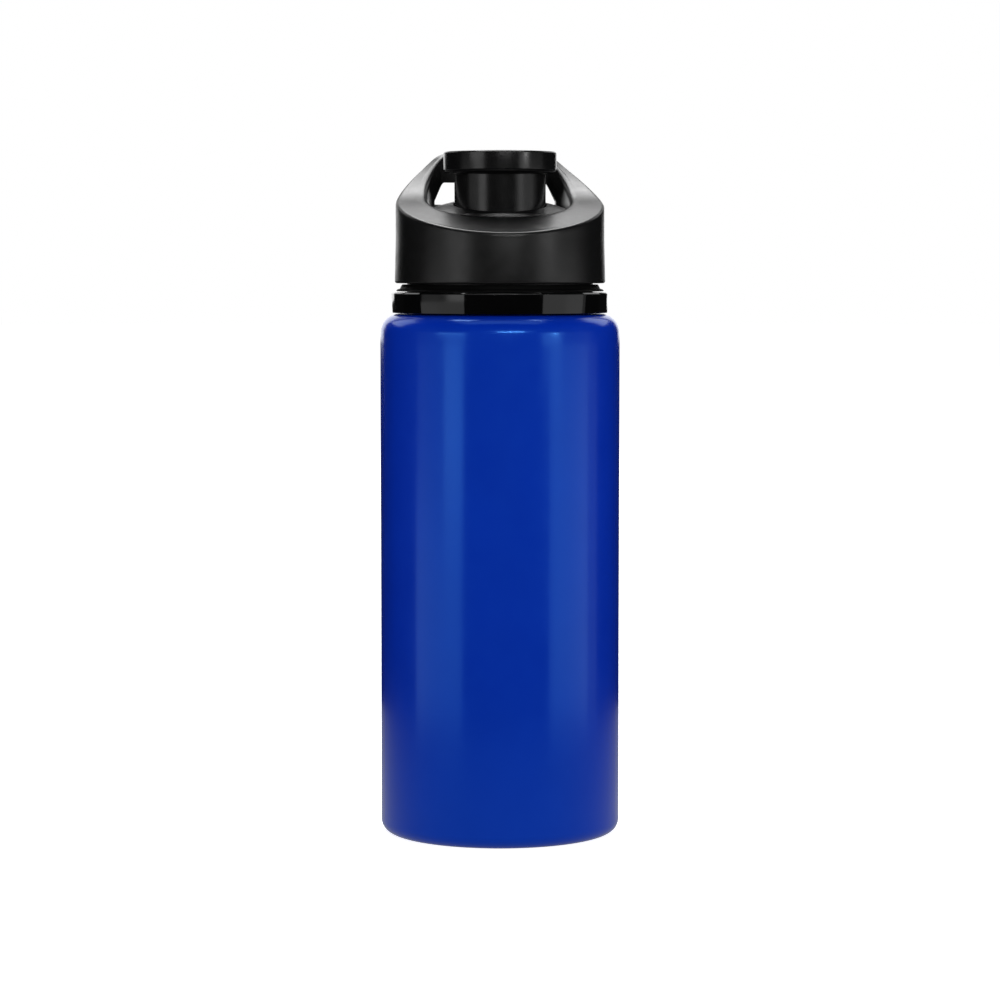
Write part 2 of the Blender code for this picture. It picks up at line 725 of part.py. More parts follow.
def main():
    clear_scene()
    paint = finish("blue_paint", (0.002, 0.028, 0.34), 0.32)
    satin = finish("satin_black", (0.014, 0.014, 0.015), 0.42)
    gloss = finish("gloss_black", (0.008, 0.008, 0.009), 0.12)
    spout_black = finish("spout_black", (0.011, 0.011, 0.012), 0.24)
    plain_black = finish("plain_black", (0.02, 0.02, 0.021), 0.5)
    soft_black = finish("soft_black", (0.01, 0.01, 0.01), 0.6)
    silicone = finish("silicone", (0.62, 0.63, 0.61), 0.45)
    group(
        "bottle",
        0.0,
        None,
        [
            bottle_shell(paint),
            neck_insert(plain_black),
            neck_seal(silicone),
            collar_ring(gloss),
            dust_seal(soft_black),
        ],
    )
    lift = group("lid_lift_axis", LIP_Z, None, [lid_gasket(silicone)])
    ring_low = RING_GROOVE_Z + RING_SLACK
    ring_high = RING_GROOVE_Z + RING_GROOVE_HEIGHT - RING_SLACK
    face_low = FLANGE_TOP_Z - FACE_GROOVE_DEPTH + RING_SLACK
    lid = group(
        "lid_turn_axis",
        SKIRT_Z,
        None,
        [
            lid_shell(satin),
            lid_inner_cap(plain_black),
            spout_base(plain_black),
            seal_ring(
                "spout_base_seal",
                FACE_GROOVE_INNER + GAP,
                FACE_GROOVE_OUTER - GAP,
                face_low,
                FLANGE_TOP_Z + FACE_SEAL_RISE,
                silicone,
            ),
            seal_ring(
                "spout_oring",
                RING_GROOVE_RADIUS + RING_SLACK,
                SLEEVE_BORE - RING_PRESS,
                ring_low,
                ring_high,
                silicone,
            ),
            spout_core(plain_black),
            vent_valve(silicone),
        ],
    )
    lid.parent = lift
    lid.location.z = SKIRT_Z - LIP_Z
    sleeve = group(
        "spout_pull_axis",
        DISC_LOW_Z,
        None,
        [spout_sleeve(spout_black), mouth_insert(soft_black)],
    )
    sleeve.parent = lid
    sleeve.location.z = DISC_LOW_Z - SKIRT_Z


main()
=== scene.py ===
"""Looks of the aluminium sports bottle: fine meshes, procedural materials, light and camera.

Metres, +Z up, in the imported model's frame: the front faces -Y and the carry loop is at +Y.
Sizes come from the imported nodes' boxes, and from the named values below where a box does
not show them.
"""

import math

import bmesh
import bpy
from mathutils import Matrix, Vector


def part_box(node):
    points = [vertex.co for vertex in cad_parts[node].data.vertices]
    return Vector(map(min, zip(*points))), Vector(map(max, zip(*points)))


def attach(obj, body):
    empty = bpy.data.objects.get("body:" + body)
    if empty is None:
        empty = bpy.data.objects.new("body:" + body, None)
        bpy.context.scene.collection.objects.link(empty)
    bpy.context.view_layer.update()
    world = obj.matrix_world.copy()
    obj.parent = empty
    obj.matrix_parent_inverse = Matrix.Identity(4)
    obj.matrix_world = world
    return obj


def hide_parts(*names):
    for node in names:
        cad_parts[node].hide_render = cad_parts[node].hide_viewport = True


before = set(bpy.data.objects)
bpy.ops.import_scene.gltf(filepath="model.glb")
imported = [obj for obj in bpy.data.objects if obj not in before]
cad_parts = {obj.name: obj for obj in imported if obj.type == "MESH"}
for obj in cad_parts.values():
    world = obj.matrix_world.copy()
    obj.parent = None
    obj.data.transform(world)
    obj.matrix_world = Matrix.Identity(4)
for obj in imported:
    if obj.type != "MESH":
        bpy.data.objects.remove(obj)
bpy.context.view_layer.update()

MM = 0.001

# Facets round the turned pieces, and along each fillet
FINE_STEPS = 256
PIECE_STEPS = 160
SMALL_STEPS = 64
FILLET_STEPS = 5
BEAD_SIDES = 16
WELD_DISTANCE = 1e-7

# Can
can_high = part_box("bottle_shell")[1]
BODY_RADIUS = can_high.x
LIP_Z = can_high.z
WALL = 0.9 * MM
SHOULDER_Z = 159.0 * MM
SHOULDER_FILLET = 5.7 * MM
SHOULDER_SWEEP = 60.0 * MM
SHOULDER_TILT = 4
BASE_CORNER = 4.0 * MM
BASE_HOLLOW = 4.5 * MM
RING_INNER_RADIUS = 31.2 * MM
RING_INNER_ROUND = 0.6 * MM
BASE_THICKNESS = 1.2 * MM
NECK_RADIUS = 25.0 * MM
NECK_FILLET = 1.8 * MM
LIP_RADIUS = 26.6 * MM
LIP_THICKNESS = 1.5 * MM
LIP_INNER_ROUND = 1.2 * MM
WALL_ROWS = 12

# Collar ring and dust seal
collar_low, collar_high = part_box("collar_ring")
COLLAR_FACETS = 26
COLLAR_TURN = math.radians(4.4)
COLLAR_STEPS_PER_FACET = 12
COLLAR_LOW_RADIUS = 32.8 * MM
COLLAR_TOP_RADIUS = 33.2 * MM
COLLAR_BORE = 28.9 * MM
COLLAR_CORNER = 0.04 * MM
COLLAR_BULGE = 0.3
COLLAR_CHAMFER = 0.42 * MM
dust_low, dust_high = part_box("dust_seal")
DUST_FOOT_RADIUS = 31.7 * MM
DUST_EDGE_RADIUS = 31.4 * MM
DUST_CONE_RADIUS = 30.5 * MM
DUST_TOP_RADIUS = 29.9 * MM
DUST_BORE = 28.7 * MM

# Neck insert, which lies inside the can's lip
INSERT_FOOT_RADIUS = 28.3 * MM
INSERT_FOOT_TOP_Z = 168.6 * MM
INSERT_TUBE_LOW_Z = 169.2 * MM
INSERT_BORE = NECK_RADIUS + 0.3 * MM
INSERT_GROOVE_RADIUS = 26.2 * MM
INSERT_GROOVE_LOW_Z = 173.0 * MM
INSERT_GROOVE_TOP_Z = 174.6 * MM

# Hood
hood_low, hood_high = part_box("lid_shell")
SKIRT_Z = hood_low.z
SKIRT_LOW_RADIUS = hood_high.x
SKIRT_RADIUS = 31.75 * MM
SKIRT_BORE = 30.25 * MM
SKIRT_EDGE = 0.7 * MM
SKIRT_TAPER_TOP_Z = 181.5 * MM
RAMP_Z = 192.6 * MM
RAMP_TILT = math.radians(13)
FRONT_TILT = math.radians(16.9)
FRONT_BLEND = 8.0 * MM
SWEEP_RADIUS = 50.0 * MM
BRIDGE_Z = 208.5 * MM
BRIDGE_BLEND = 2.0 * MM
BAND_CROWN = 1.1 * MM
RECESS_CENTRE_Y = 7.1 * MM
RECESS_HALF_WIDTH = 21.4 * MM
RECESS_HALF_DEPTH = 22.3 * MM
RECESS_POWER = 2.6
RECESS_LIP = 2.7 * MM
DECK_Z = 194.7 * MM
DECK_CENTRE_Y = 9.8 * MM
DECK_RADIUS = 62.0 * MM
DECK_THICKNESS = 1.8 * MM
HOLLOW_FLOOR_Z = 183.0 * MM
EDGE_ROUND = 1.0 * MM
WELL_RADIUS = 14.25 * MM
WELL_EDGE = 0.15 * MM
HOOD_STEPS = 384
HOOD_SMOOTH_BELOW = 32
SKIRT_ROWS = 4
BAND_ROWS = 10
DECK_ROWS = 8
UNDER_ROWS = 10
SLOT_LOW_Z = 192.5 * MM
SLOT_TOP_Z = 199.4 * MM
SLOT_TOP_HALF_WIDTH = 16.2 * MM
SLOT_SIDE_SLOPE = 2.2
SLOT_CORNER = 1.5 * MM
SLOT_END = 18.9 * MM
SLOT_BEVEL = 0.35 * MM
SLOT_COLUMNS = 96

# Screw thread
PITCH = 3.6 * MM
NECK_ROOT_RADIUS = 26.9 * MM
NECK_CREST_RADIUS = 28.1 * MM
CAP_ROOT_RADIUS = 28.45 * MM
CAP_CREST_RADIUS = 27.35 * MM
RIDGE_ROOT_WIDTH = 1.5 * MM
RIDGE_CREST_WIDTH = 0.8 * MM
RIDGE_SUNK = 0.4 * MM
NECK_THREAD_Z = 170.6 * MM
NECK_THREAD_TURNS = 1.4
CAP_THREAD_TURNS = 1.35
RIDGE_STEPS_PER_TURN = 120
RIDGE_CREST_ROUND = 0.2 * MM

# Inner cap and vent valve
CAP_PLATE_THICKNESS = 1.9 * MM
CAP_BORE = 11.9 * MM
vent_low, vent_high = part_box("vent_valve")
VENT_Y = (vent_low.y + vent_high.y) / 2
VENT_HOLE_RADIUS = 1.6 * MM
VENT_STEM_RADIUS = 1.3 * MM
VENT_BARB_RADIUS = 2.3 * MM
VENT_FLAP_RADIUS = 3.8 * MM
VENT_PLATE_LOW_Z = 180.6 * MM
VENT_PLATE_TOP_Z = 182.5 * MM
VENT_GAP = 0.3 * MM

# Spout
sleeve_low, sleeve_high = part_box("spout_sleeve")
DISC_RADIUS = sleeve_high.x
SLEEVE_LOW_Z = sleeve_low.z
SLEEVE_RADIUS = 13.9 * MM
SLEEVE_BORE = 12.2 * MM
SLEEVE_LIP_BORE = 11.85 * MM
SLEEVE_LIP_HEIGHT = 1.5 * MM
DISC_LOW_Z = 202.4 * MM
DISC_ROOT_Z = 201.2 * MM
DISC_EDGE = 0.25 * MM
DISC_TOP_Z = 208.1 * MM
DISC_TOP_EDGE = 0.4 * MM
DISC_DOME = 0.4 * MM
DOME_ROWS = 14
UNDERSIDE_ROWS = 8
CHAMBER_TOP_Z = 203.4 * MM
SEAT_RADIUS = 7.6 * MM
SEAT_TOP_Z = 206.4 * MM
DRINK_RADIUS = 4.8 * MM
DRINK_DISH = 0.9 * MM
MOUTH_RADIUS = 7.3 * MM
MOUTH_BORE = 4.5 * MM
TUBE_RADIUS = 11.6 * MM
TUBE_BORE = 9.8 * MM
TUBE_FLANGE_RADIUS = 15.0 * MM
TUBE_FLANGE_TOP_Z = 180.3 * MM
TUBE_FLANGE_GROOVE = (12.6 * MM, 14.2 * MM)
TUBE_BEAD_RADIUS = 11.95 * MM
TUBE_BEAD_Z = (191.6 * MM, 192.45 * MM, 192.8 * MM)
ORING_GROOVE_RADIUS = 10.6 * MM
ORING_GROOVE_Z = (196.5 * MM, 198.1 * MM)
core_low, core_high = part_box("spout_core")
CORE_RING_RADIUS = 9.5 * MM
CORE_RING_BORE = 8.3 * MM
CORE_RING_TOP_Z = 200.5 * MM
CORE_POST_RADIUS = 2.6 * MM
CORE_ARMS = 3
CORE_ARM_WIDTH = 1.4 * MM
PLUG_RADIUS = 4.2 * MM
PLUG_LOW_Z = 203.0 * MM

# Noise, from its own middle range, for colour and roughness
NOISE_LOW = 0.3
NOISE_HIGH = 0.7

# Studio: how far the lights stand from the axis
PANEL_AWAY = 1.2
STRIP_AWAY = 1.3
FILL_AWAY = 1.6
BACK_AWAY = 1.5

# Camera
CAMERA_DISTANCE = 1.01
CAMERA_Z = 0.1755
CAMERA_SIDE = math.radians(4)
AIM_Z = 0.1020
LENS = 119.0


# ---- Shapes ---------------------------------------------------------------------------


def arc(centre_r, centre_z, radius, start, end, steps):
    """Points along an arc in the (r, z) plane, from start to end degrees, both included."""
    points = []
    for i in range(steps + 1):
        angle = math.radians(start + (end - start) * i / steps)
        points.append((centre_r + radius * math.cos(angle), centre_z + radius * math.sin(angle)))
    return points


def rounded(points, closed=True):
    """Round the corners of (r, z, fillet) points. A fillet of 0 leaves its corner as it is."""
    result = []
    count = len(points)
    for i, (r, z, fillet) in enumerate(points):
        at_end = not closed and i in (0, count - 1)
        if at_end or fillet == 0:
            result.append((r, z))
            continue
        corner = Vector((r, z))
        before = Vector(points[i - 1][:2]) - corner
        after = Vector(points[(i + 1) % count][:2]) - corner
        half = before.angle(after) / 2
        cut = min(fillet / math.tan(half), 0.45 * before.length, 0.45 * after.length)
        first = corner + before.normalized() * cut
        last = corner + after.normalized() * cut
        for step in range(FILLET_STEPS + 1):
            s = step / FILLET_STEPS
            point = first * (1 - s) ** 2 + corner * 2 * s * (1 - s) + last * s**2
            result.append((point.x, point.y))
    return result


def mesh_object(name, bm, smooth_below=50):
    """An object from bm, with edges sharper than smooth_below degrees left sharp."""
    bmesh.ops.remove_doubles(bm, verts=bm.verts, dist=WELD_DISTANCE)
    bmesh.ops.recalc_face_normals(bm, faces=bm.faces)
    mesh = bpy.data.meshes.new(name)
    bm.to_mesh(mesh)
    bm.free()
    mesh.shade_smooth()
    mesh.set_sharp_from_angle(angle=math.radians(smooth_below))
    obj = bpy.data.objects.new(name, mesh)
    bpy.context.collection.objects.link(obj)
    return obj


def tube_mesh(sections, cyclic):
    """Join equal rings of points into quads, capped at both ends unless cyclic."""
    bm = bmesh.new()
    rings = [[bm.verts.new(point) for point in section] for section in sections]
    following = rings[1:] + rings[:1] if cyclic else rings[1:]
    for ring, after in zip(rings, following):
        for i, vert in enumerate(ring):
            j = (i + 1) % len(ring)
            bm.faces.new((vert, ring[j], after[j], after[i]))
    if not cyclic:
        bm.faces.new(rings[0])
        bm.faces.new(rings[-1])
    return bm


def turned(name, profile, steps, closed=True, smooth_below=50):
    """Revolve (r, z) points about Z. An open profile has both of its ends on the axis."""
    bm = bmesh.new()
    verts = [bm.verts.new((0.0, -r, z)) for r, z in profile]
    edges = [bm.edges.new(pair) for pair in zip(verts, verts[1:])]
    if closed:
        edges.append(bm.edges.new((verts[-1], verts[0])))
    bmesh.ops.spin(
        bm,
        geom=verts + edges,
        cent=(0, 0, 0),
        axis=(0, 0, 1),
        angle=2 * math.pi,
        steps=steps,
        use_merge=True,
    )
    return mesh_object(name, bm, smooth_below)


def apply_boolean(obj, other, operation):
    """Cut or join other into obj, and delete other."""
    boolean = obj.modifiers.new("boolean", "BOOLEAN")
    boolean.operation = operation
    boolean.solver = "EXACT"
    boolean.object = other
    graph = bpy.context.evaluated_depsgraph_get()
    mesh = bpy.data.meshes.new_from_object(obj.evaluated_get(graph))
    obj.modifiers.clear()
    obj.data = mesh
    bpy.data.objects.remove(other, do_unlink=True)
    return obj


def thread_ridge(root_radius, crest_radius, start_z, start_angle, turns):
    """A trapezoid ridge on a right-handed helix. Its crest rises out of the wall at both ends."""
    outwards = 1 if crest_radius > root_radius else -1
    sunk_radius = root_radius - outwards * RIDGE_SUNK
    hidden_radius = root_radius - outwards * RIDGE_SUNK / 4
    count = round(turns * RIDGE_STEPS_PER_TURN)
    fade = RIDGE_STEPS_PER_TURN // 8
    sections = []
    for i in range(count + 1):
        angle = start_angle + 2 * math.pi * i / RIDGE_STEPS_PER_TURN
        z = start_z + PITCH * i / RIDGE_STEPS_PER_TURN
        share = min(1.0, i / fade, (count - i) / fade)
        crest = hidden_radius + (crest_radius - hidden_radius) * share
        corners = rounded(
            [
                (sunk_radius, z - RIDGE_ROOT_WIDTH / 2, 0),
                (crest, z - RIDGE_CREST_WIDTH / 2, RIDGE_CREST_ROUND),
                (crest, z + RIDGE_CREST_WIDTH / 2, RIDGE_CREST_ROUND),
                (sunk_radius, z + RIDGE_ROOT_WIDTH / 2, 0),
            ]
        )
        sections.append([(r * math.sin(angle), -r * math.cos(angle), h) for r, h in corners])
    return mesh_object("ridge", tube_mesh(sections, cyclic=False))


# ---- Bottle ---------------------------------------------------------------------------


def base_dome(raised):
    """The base's hollow as an arc from the axis outwards, raised by the base's thickness or 0."""
    sphere = (RING_INNER_RADIUS**2 + BASE_HOLLOW**2) / (2 * BASE_HOLLOW)
    edge = math.degrees(math.asin(RING_INNER_RADIUS / sphere))
    return arc(0, BASE_HOLLOW - sphere + raised, sphere, 90, 90 - edge, 16)


def make_can():
    """The painted can, with its inside and rolled lip on a second material."""
    ring_outer = BODY_RADIUS - BASE_CORNER
    tilt = math.radians(SHOULDER_TILT)
    sweep_r = BODY_RADIUS - SHOULDER_SWEEP
    fillet_z = SHOULDER_Z - SHOULDER_FILLET
    flat_outer = sweep_r + (SHOULDER_SWEEP - SHOULDER_FILLET) * math.cos(tilt)
    sweep_z = fillet_z - (SHOULDER_SWEEP - SHOULDER_FILLET) * math.sin(tilt)
    fillet_r = NECK_RADIUS + NECK_FILLET
    lip_round = LIP_THICKNESS / 2
    outside = base_dome(0)[:-1]
    outside += rounded(
        [(RING_INNER_RADIUS - MM, 0.28 * MM, 0)]
        + [(RING_INNER_RADIUS, 0, RING_INNER_ROUND), (ring_outer, 0, 0)],
        closed=False,
    )[:-1]
    outside += arc(ring_outer, BASE_CORNER, BASE_CORNER, -90, 0, 20)
    for i in range(1, WALL_ROWS):
        outside.append((BODY_RADIUS, BASE_CORNER + (sweep_z - BASE_CORNER) * i / WALL_ROWS))
    outside += arc(sweep_r, sweep_z, SHOULDER_SWEEP, 0, SHOULDER_TILT, 8)[:-1]
    outside += arc(flat_outer, fillet_z, SHOULDER_FILLET, SHOULDER_TILT, 90, 24)
    outside += arc(fillet_r, SHOULDER_Z + NECK_FILLET, NECK_FILLET, -90, -180, 8)
    outside += [(NECK_RADIUS, LIP_Z - LIP_THICKNESS)]
    outside += arc(LIP_RADIUS - lip_round, LIP_Z - lip_round, lip_round, -90, 90, 10)
    inner_corner = BASE_CORNER - WALL
    turn_in = LIP_INNER_ROUND
    inside = arc(NECK_RADIUS - WALL + turn_in, LIP_Z - turn_in, turn_in, 90, 180, 6)
    inside += arc(fillet_r, SHOULDER_Z + NECK_FILLET, NECK_FILLET + WALL, 180, 270, 8)
    inside += arc(flat_outer, fillet_z, SHOULDER_FILLET - WALL, 90, SHOULDER_TILT, 12)[:-1]
    inside += arc(sweep_r, sweep_z, SHOULDER_SWEEP - WALL, SHOULDER_TILT, 0, 4)
    inside += arc(ring_outer, BASE_THICKNESS + inner_corner, inner_corner, 0, -90, 10)
    inside += reversed(base_dome(BASE_THICKNESS))
    can = turned("can_fine", outside + inside, FINE_STEPS, closed=False)
    bare = 0.5 * (NECK_RADIUS + LIP_RADIUS)
    for face in can.data.polygons:
        centre, normal = face.center, face.normal
        outwards = normal.x * centre.x + normal.y * centre.y
        radius = math.hypot(centre.x, centre.y)
        lining = centre.z > 2 * MM and (outwards < -1e-9 or radius < bare)
        if lining and not (radius < RING_INNER_RADIUS and centre.z < BASE_HOLLOW + 0.6 * MM):
            face.material_index = 1
    return can


def make_collar():
    """A ring with flat facets whose corners are just rounded, so each catches its own light."""
    half = math.pi / COLLAR_FACETS
    steps = COLLAR_FACETS * COLLAR_STEPS_PER_FACET
    low, high = collar_low.z, collar_high.z
    sections = []
    for i in range(steps):
        within = (i % COLLAR_STEPS_PER_FACET) / COLLAR_STEPS_PER_FACET
        # Steps crowd towards the corners, where the surface turns.
        eased = 0.5 - 0.5 * math.cos(math.pi * within)
        local = (0.7 * eased + 0.3 * within) * 2 * half - half
        facet = i // COLLAR_STEPS_PER_FACET
        angle = COLLAR_TURN + (facet + 0.5) * 2 * half + local
        flat = math.cos(half) / math.cos(local) * (1 - COLLAR_BULGE) + COLLAR_BULGE
        round_off = 1 - COLLAR_CORNER / COLLAR_TOP_RADIUS
        scale = min(flat, round_off)
        profile = rounded(
            [
                (COLLAR_LOW_RADIUS * scale, low, 0.25 * MM),
                (COLLAR_TOP_RADIUS * scale, high - COLLAR_CHAMFER, 0.12 * MM),
                (COLLAR_TOP_RADIUS * scale - COLLAR_CHAMFER, high, 0.12 * MM),
                (COLLAR_BORE, high, 0.2 * MM),
                (COLLAR_BORE, low, 0.2 * MM),
            ]
        )
        sections.append([(r * math.sin(angle), -r * math.cos(angle), z) for r, z in profile])
    return mesh_object("collar_fine", tube_mesh(sections, cyclic=True), 12)


def make_dust_seal():
    """A cone in the gap between the collar and the lid."""
    low, high = dust_low.z, dust_high.z
    profile = rounded(
        [
            (DUST_FOOT_RADIUS, low, 0.2 * MM),
            (DUST_EDGE_RADIUS, low + 0.5 * MM, 0.2 * MM),
            (DUST_CONE_RADIUS, low + 0.8 * MM, 0.15 * MM),
            (DUST_TOP_RADIUS, high, 0.3 * MM),
            (DUST_BORE, high, 0.2 * MM),
            (DUST_BORE, low, 0.2 * MM),
        ]
    )
    return turned("dust_seal_fine", profile, PIECE_STEPS)


def make_neck_insert():
    """The threaded plastic neck, with a groove for its seal."""
    low, high = (corner.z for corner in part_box("neck_insert"))
    bore = INSERT_BORE
    profile = rounded(
        [
            (INSERT_FOOT_RADIUS, low, 0.2 * MM),
            (INSERT_FOOT_RADIUS, INSERT_FOOT_TOP_Z, 0.3 * MM),
            (NECK_ROOT_RADIUS, INSERT_TUBE_LOW_Z, 0.3 * MM),
            (NECK_ROOT_RADIUS, high, 0.5 * MM),
            (bore, high, 0.2 * MM),
            (bore, INSERT_GROOVE_TOP_Z, 0),
            (INSERT_GROOVE_RADIUS, INSERT_GROOVE_TOP_Z, 0.1 * MM),
            (INSERT_GROOVE_RADIUS, INSERT_GROOVE_LOW_Z, 0.1 * MM),
            (bore, INSERT_GROOVE_LOW_Z, 0),
            (bore, low + 2.3 * MM, 0.2 * MM),
            (bore + 1.9 * MM, low, 0.1 * MM),
        ]
    )
    insert = turned("neck_insert_fine", profile, PIECE_STEPS)
    ridge = thread_ridge(
        NECK_ROOT_RADIUS, NECK_CREST_RADIUS, NECK_THREAD_Z, 0.0, NECK_THREAD_TURNS
    )
    return apply_boolean(insert, ridge, "UNION")


def bore_of(node):
    """Least distance of the node's vertices from the axis."""
    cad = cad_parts[node].data.vertices
    return min(math.hypot(v.co.x, v.co.y) for v in cad)


def make_plain_ring(name, node, fillet):
    """A ring of rectangular section, with the box and bore of its node."""
    low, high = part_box(node)
    bore = bore_of(node)
    corners = [(high.x, low.z), (high.x, high.z), (bore, high.z), (bore, low.z)]
    profile = rounded([(r, z, fillet) for r, z in corners])
    return turned(name, profile, PIECE_STEPS)


def make_bead(name, node):
    """A seal ring of round section, with the box and bore of its node."""
    low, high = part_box(node)
    bore = bore_of(node)
    profile = []
    for i in range(BEAD_SIDES):
        angle = 2 * math.pi * i / BEAD_SIDES
        r = (bore + high.x) / 2 + (high.x - bore) / 2 * math.cos(angle)
        z = (low.z + high.z) / 2 + (high.z - low.z) / 2 * math.sin(angle)
        profile.append((r, z))
    return turned(name, profile, PIECE_STEPS)


# ---- Lid ------------------------------------------------------------------------------


def smooth_min(a, b, blend):
    """The lesser of a and b, rounded off where they are within blend of each other."""
    share = min(1.0, max(0.0, 0.5 + (b - a) / (2 * blend)))
    return b + (a - b) * share - blend * share * (1 - share)


def hood_height(x, y):
    """Height of the hood's top: a slope that steepens in front, and a sweep up to the loop."""
    if y <= 0:
        steeper = math.tan(FRONT_TILT) - math.tan(RAMP_TILT)
        bent = min(-y, FRONT_BLEND)
        eased = y + bent - bent**2 / (2 * FRONT_BLEND)
        height = RAMP_Z + y * math.tan(RAMP_TILT) + steeper * eased
    else:
        along = y + SWEEP_RADIUS * math.sin(RAMP_TILT)
        fall = math.sqrt(SWEEP_RADIUS**2 - along**2)
        sweep = RAMP_Z + SWEEP_RADIUS * math.cos(RAMP_TILT) - fall
        height = smooth_min(sweep, BRIDGE_Z, BRIDGE_BLEND)
    return height + BAND_CROWN * (1 - (x * x + y * y) / SKIRT_RADIUS**2)


def deck_height(x, y):
    """Height of the domed deck in the recess."""
    away = min(math.hypot(x, y - DECK_CENTRE_Y), 0.7 * DECK_RADIUS)
    return DECK_Z - DECK_RADIUS + math.sqrt(DECK_RADIUS**2 - away**2)


def recess_radius(x, y):
    """Distance from the axis to the recess's outline, a superellipse, in direction (x, y)."""
    low, high = 0.0, SKIRT_RADIUS
    for _ in range(40):
        middle = (low + high) / 2
        across = abs(middle * x / RECESS_HALF_WIDTH) ** RECESS_POWER
        along = abs((middle * y - RECESS_CENTRE_Y) / RECESS_HALF_DEPTH) ** RECESS_POWER
        if across + along < 1:
            low = middle
        else:
            high = middle
    return low


def hood_profile(x, y):
    """One radial section of the hood, in direction (x, y), as closed (r, z) points."""

    def top(r):
        return hood_height(r * x, r * y)

    def deck(r):
        return deck_height(r * x, r * y)

    def under(r):
        return max(min(top(r), deck(r)) - DECK_THICKNESS, HOLLOW_FLOOR_Z)

    inner = recess_radius(x, y)
    lip = min(RECESS_LIP, 0.45 * (SKIRT_RADIUS - inner))
    lip_start = inner + lip
    drop = max(top(lip_start) - deck(inner), 0.2 * MM)
    lip_drop = min(lip, 0.8 * drop)
    edge = min(EDGE_ROUND, 0.4 * (SKIRT_RADIUS - lip_start))
    band = SKIRT_RADIUS - edge
    profile = arc(
        SKIRT_LOW_RADIUS - SKIRT_EDGE, SKIRT_Z + SKIRT_EDGE, SKIRT_EDGE, -90, 0, 6
    )
    profile.append((SKIRT_RADIUS, SKIRT_TAPER_TOP_Z))
    skirt_top = top(SKIRT_RADIUS) - edge
    for i in range(1, SKIRT_ROWS):
        rise = (skirt_top - SKIRT_TAPER_TOP_Z) * i / SKIRT_ROWS
        profile.append((SKIRT_RADIUS, SKIRT_TAPER_TOP_Z + rise))
    for i in range(6):
        angle = math.pi / 2 * i / 5
        r = band + edge * math.cos(angle)
        profile.append((r, top(band) - edge + edge * math.sin(angle)))
    for i in range(1, BAND_ROWS):
        r = band + (lip_start - band) * i / BAND_ROWS
        profile.append((r, top(r)))
    for i in range(11):
        angle = math.pi / 2 * i / 10
        r = lip_start - lip * math.sin(angle)
        profile.append((r, top(lip_start) - lip_drop * (1 - math.cos(angle))))
    floor_start = inner - WELL_EDGE
    floor_end = WELL_RADIUS + WELL_EDGE
    wall_low = deck(floor_start)
    wall_high = profile[-1][1]
    profile.append((inner, wall_low + 0.3 * (wall_high - wall_low)))
    for i in range(DECK_ROWS + 1):
        r = floor_start + (floor_end - floor_start) * i / DECK_ROWS
        profile.append((r, deck(r)))
    profile.append((WELL_RADIUS, deck(WELL_RADIUS) - WELL_EDGE))
    profile.append((WELL_RADIUS, under(WELL_RADIUS)))
    for i in range(1, UNDER_ROWS + 1):
        r = WELL_RADIUS + (SKIRT_BORE - WELL_RADIUS) * i / UNDER_ROWS
        profile.append((r, under(r)))
    profile.append((SKIRT_BORE, SKIRT_Z + 0.3 * MM))
    profile.append((SKIRT_BORE + 0.3 * MM, SKIRT_Z))
    return profile


def slot_cutter():
    """The slot under the carry loop, flared at the wall's two faces so its edges are bevelled."""
    sections = []
    for i in range(SLOT_COLUMNS + 1):
        x = SLOT_END * (2 * i / SLOT_COLUMNS - 1)
        side = SLOT_TOP_Z - (abs(x) - SLOT_TOP_HALF_WIDTH) * SLOT_SIDE_SLOPE
        roof = smooth_min(side, SLOT_TOP_Z, SLOT_CORNER)
        reach = (1 - (abs(x) / RECESS_HALF_WIDTH) ** RECESS_POWER) ** (1 / RECESS_POWER)
        inner_face = RECESS_CENTRE_Y + RECESS_HALF_DEPTH * reach
        outer_face = math.sqrt(SKIRT_RADIUS**2 - x * x)
        stations = [
            (inner_face - 0.8 * MM, SLOT_BEVEL + 0.3 * MM),
            (inner_face - 0.1 * MM, SLOT_BEVEL),
            (inner_face + SLOT_BEVEL, 0.0),
            (outer_face - SLOT_BEVEL, 0.0),
            (outer_face + 0.1 * MM, SLOT_BEVEL),
            (outer_face + 6 * MM, SLOT_BEVEL),
        ]
        floor_line = [(x, y, SLOT_LOW_Z - flare) for y, flare in stations]
        roof_line = [(x, y, roof + flare) for y, flare in reversed(stations)]
        sections.append(floor_line + roof_line)
    return mesh_object("slot_cutter", tube_mesh(sections, cyclic=False))


def make_hood():
    """The lid's outer shell: skirt, sloping band, recess, deck, and the loop over its slot."""
    sections = []
    for i in range(HOOD_STEPS):
        angle = 2 * math.pi * i / HOOD_STEPS
        x, y = math.sin(angle), -math.cos(angle)
        sections.append([(r * x, r * y, z) for r, z in hood_profile(x, y)])
    hood = mesh_object("hood_fine", tube_mesh(sections, cyclic=True), HOOD_SMOOTH_BELOW)
    apply_boolean(hood, slot_cutter(), "DIFFERENCE")
    hood.data.set_sharp_from_angle(angle=math.radians(HOOD_SMOOTH_BELOW))
    return hood


